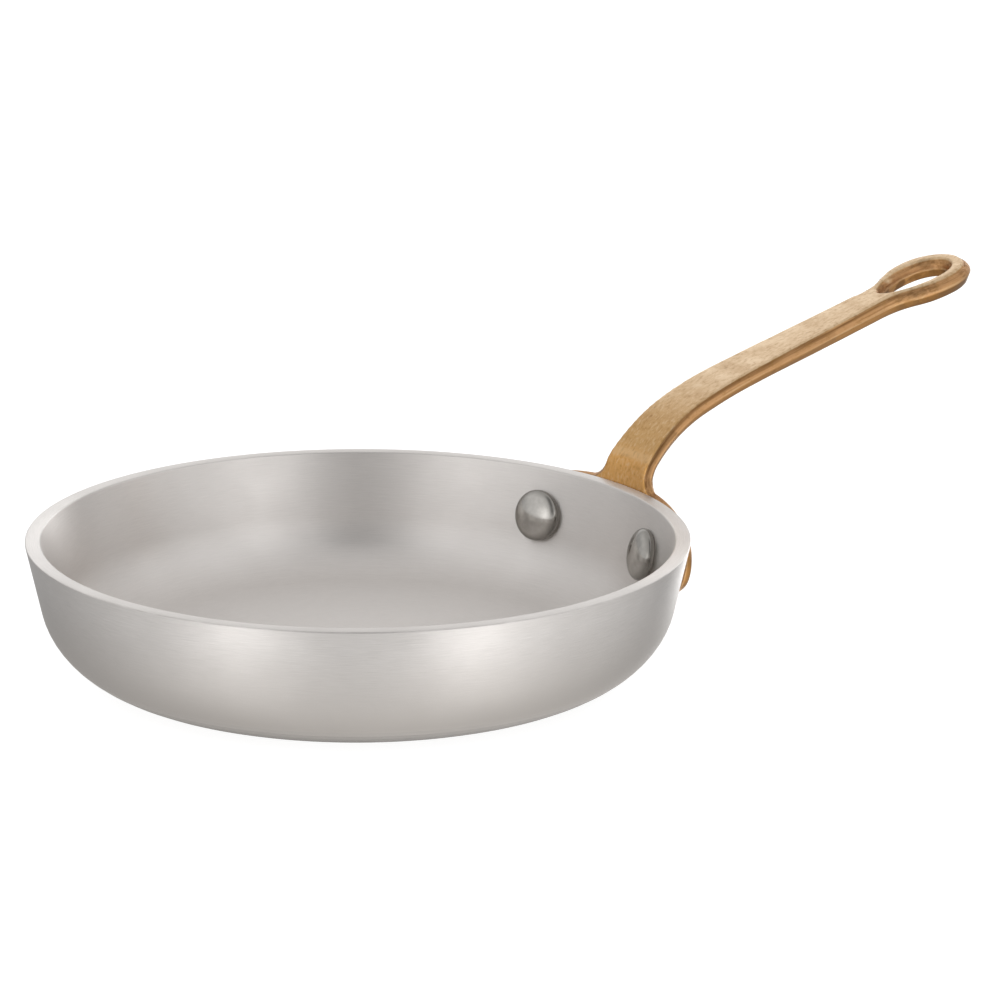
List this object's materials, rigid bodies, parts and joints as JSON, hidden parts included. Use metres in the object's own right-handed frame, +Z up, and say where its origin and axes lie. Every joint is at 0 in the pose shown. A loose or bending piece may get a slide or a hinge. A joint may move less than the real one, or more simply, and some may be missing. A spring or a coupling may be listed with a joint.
{
  "type": "frying pan",
  "caption": "Small round aluminium frying pan with a leaning wall and a flat-ground rim, carried by a riveted cast bronze handle that ends in a hanging eye.",
  "frame": {"origin": "centre of the flat underside of the base", "axes": "+Z up out of the pan, +X along the handle from the pan's axis to the eye, +Y to the left of the handle"},
  "size_m": [0.2384, 0.1398, 0.069],
  "materials": {
    "pan": "satin, finely brushed round the axis",
    "handle": "cast bronze, tumbled soft, with a parting ridge",
    "rivets": "satin"
  },
  "bodies": {
    "root": {"pan_body": "pan", "handle": "handle", "rivet_left": "rivets", "rivet_right": "rivets"}
  },
  "joints": []
}
